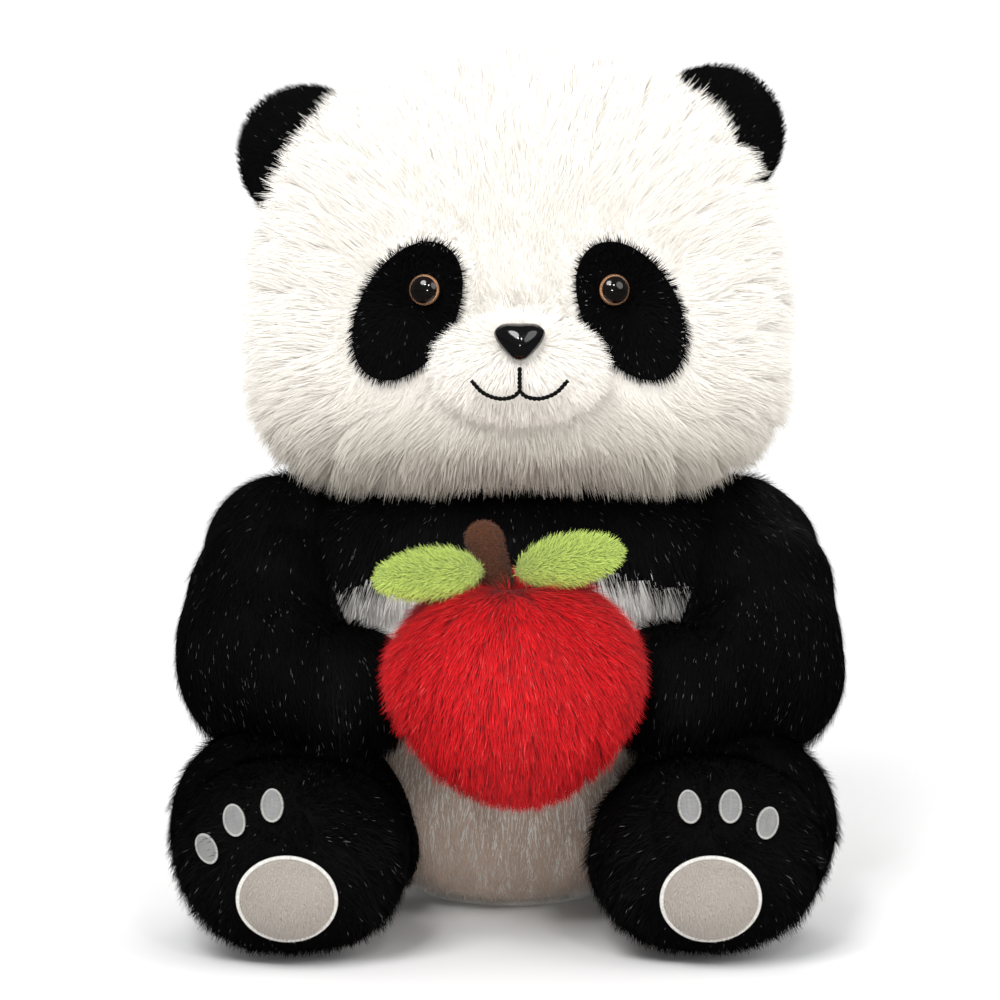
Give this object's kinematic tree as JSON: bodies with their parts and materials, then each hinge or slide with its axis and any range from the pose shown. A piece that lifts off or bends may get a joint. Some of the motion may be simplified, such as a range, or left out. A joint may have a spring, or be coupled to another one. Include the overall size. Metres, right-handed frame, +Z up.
{
  "type": "seated plush panda toy holding a plush apple",
  "caption": "Seated soft toy panda in long-pile plush with safety eyes and nose, jointed soft neck and limbs, holding a plush apple sewn between its paws.",
  "frame": {"origin": "middle of the flat seat panel, on the surface the panda sits on", "axes": "+Z up, the panda faces -Y, +X is the panda's own left side"},
  "size_m": [0.2588, 0.2495, 0.335],
  "materials": {
    "white_pile": "matte",
    "muzzle_pile": "matte",
    "black_pile": "matte",
    "red_pile": "matte",
    "green_pile": "matte",
    "brown_felt": "matte",
    "cream_velour": "matte",
    "seat_fabric": "matte",
    "satin_thread": "satin",
    "black_thread": "matte",
    "eye_plastic": "gloss",
    "nose_plastic": "gloss",
    "washer_plastic": "matte",
    "filling": "matte"
  },
  "bodies": {
    "torso": {"chest_cover": "black_pile", "belly_cover": "white_pile", "back_cover": "white_pile", "seat_panel": "seat_fabric", "torso_stuffing": "filling", "back_seam_thread": "satin_thread"},
    "tail": {"tail_cover": "white_pile", "tail_stuffing": "filling"},
    "neck": {"neck_stuffing": "filling", "neck_seam_cord": "black_thread"},
    "head": {"head_front_cover": "white_pile", "head_back_cover": "white_pile", "head_stuffing": "filling", "muzzle_cover": "muzzle_pile", "muzzle_stuffing": "filling", "nose": "nose_plastic", "nose_washer": "washer_plastic", "mouth_stitching": "black_thread", "left_eye": "eye_plastic", "left_eye_washer": "washer_plastic", "left_eye_patch": "black_pile", "right_eye": "eye_plastic", "right_eye_washer": "washer_plastic", "right_eye_patch": "black_pile"},
    "left_ear": {"left_ear_cover": "black_pile", "left_ear_padding": "filling"},
    "right_ear": {"right_ear_cover": "black_pile", "right_ear_padding": "filling"},
    "left_arm": {"left_arm_cover": "black_pile", "left_arm_stuffing": "filling"},
    "right_arm": {"right_arm_cover": "black_pile", "right_arm_stuffing": "filling"},
    "left_leg": {"left_leg_cover": "black_pile", "left_leg_stuffing": "filling", "left_foot_pad": "cream_velour", "left_foot_pad_stitching": "satin_thread", "left_toe_pad_1": "satin_thread", "left_toe_pad_2": "satin_thread", "left_toe_pad_3": "satin_thread"},
    "right_leg": {"right_leg_cover": "black_pile", "right_leg_stuffing": "filling", "right_foot_pad": "cream_velour", "right_foot_pad_stitching": "satin_thread", "right_toe_pad_1": "satin_thread", "right_toe_pad_2": "satin_thread", "right_toe_pad_3": "satin_thread"},
    "apple": {"apple_cover": "red_pile", "apple_stuffing": "filling", "apple_stem": "brown_felt"},
    "left_leaf": {"apple_leaf_left": "green_pile"},
    "right_leaf": {"apple_leaf_right": "green_pile"}
  },
  "joints": [
    {"name": "neck_turn", "type": "hinge", "parent": "torso", "child": "neck", "pos_m": [0, 0, 0.16], "axis": [0, 0, 1], "range_deg": [-20, 20], "stiffness_Nm_per_rad": 1.5},
    {"name": "neck_nod", "type": "hinge", "parent": "neck", "child": "head", "pos_m": [0, 0, 0.16], "axis": [1, 0, 0], "range_deg": [-6, 6], "stiffness_Nm_per_rad": 3},
    {"name": "left_ear_fold", "type": "hinge", "parent": "head", "child": "left_ear", "pos_m": [0.067, -0.014, 0.287], "axis": [0.6691, 0, -0.7431], "range_deg": [-10, 10], "stiffness_Nm_per_rad": 0.05},
    {"name": "right_ear_fold", "type": "hinge", "parent": "head", "child": "right_ear", "pos_m": [-0.065, -0.014, 0.2825], "axis": [0.5, 0, 0.866], "range_deg": [-10, 10], "stiffness_Nm_per_rad": 0.05},
    {"name": "left_shoulder_lift", "type": "hinge", "parent": "torso", "child": "left_arm", "pos_m": [0.083, 0, 0.129], "axis": [-1, 0, 0], "range_deg": [0, 14], "stiffness_Nm_per_rad": 1.5},
    {"name": "right_shoulder_lift", "type": "hinge", "parent": "torso", "child": "right_arm", "pos_m": [-0.083, 0, 0.129], "axis": [-1, 0, 0], "range_deg": [0, 14], "stiffness_Nm_per_rad": 1.5},
    {"name": "apple_lift", "type": "hinge", "parent": "torso", "child": "apple", "pos_m": [0, 0, 0.129], "axis": [-1, 0, 0], "range_deg": [0, 14], "stiffness_Nm_per_rad": 0.5},
    {"name": "left_leaf_flap", "type": "hinge", "parent": "apple", "child": "left_leaf", "pos_m": [0.008, -0.116, 0.143], "axis": [0, -0.5446, -0.8387], "range_deg": [0, 18], "stiffness_Nm_per_rad": 0.01},
    {"name": "right_leaf_flap", "type": "hinge", "parent": "apple", "child": "right_leaf", "pos_m": [-0.01, -0.116, 0.143], "axis": [0, 0.5446, 0.8387], "range_deg": [0, 18], "stiffness_Nm_per_rad": 0.01},
    {"name": "left_hip_splay", "type": "hinge", "parent": "torso", "child": "left_leg", "pos_m": [0.054, -0.026, 0.03], "axis": [0, 0, 1], "range_deg": [0, 16], "stiffness_Nm_per_rad": 1},
    {"name": "right_hip_splay", "type": "hinge", "parent": "torso", "child": "right_leg", "pos_m": [-0.054, -0.026, 0.03], "axis": [0, 0, -1], "range_deg": [0, 16], "stiffness_Nm_per_rad": 1},
    {"name": "tail_wag", "type": "hinge", "parent": "torso", "child": "tail", "pos_m": [0, 0.072, 0.042], "axis": [0, 0, 1], "range_deg": [-8, 8], "stiffness_Nm_per_rad": 0.05}
  ],
  "couplings": [
    {"joint": "right_shoulder_lift", "follows": "left_shoulder_lift", "ratio": 1},
    {"joint": "apple_lift", "follows": "left_shoulder_lift", "ratio": 1}
  ]
}
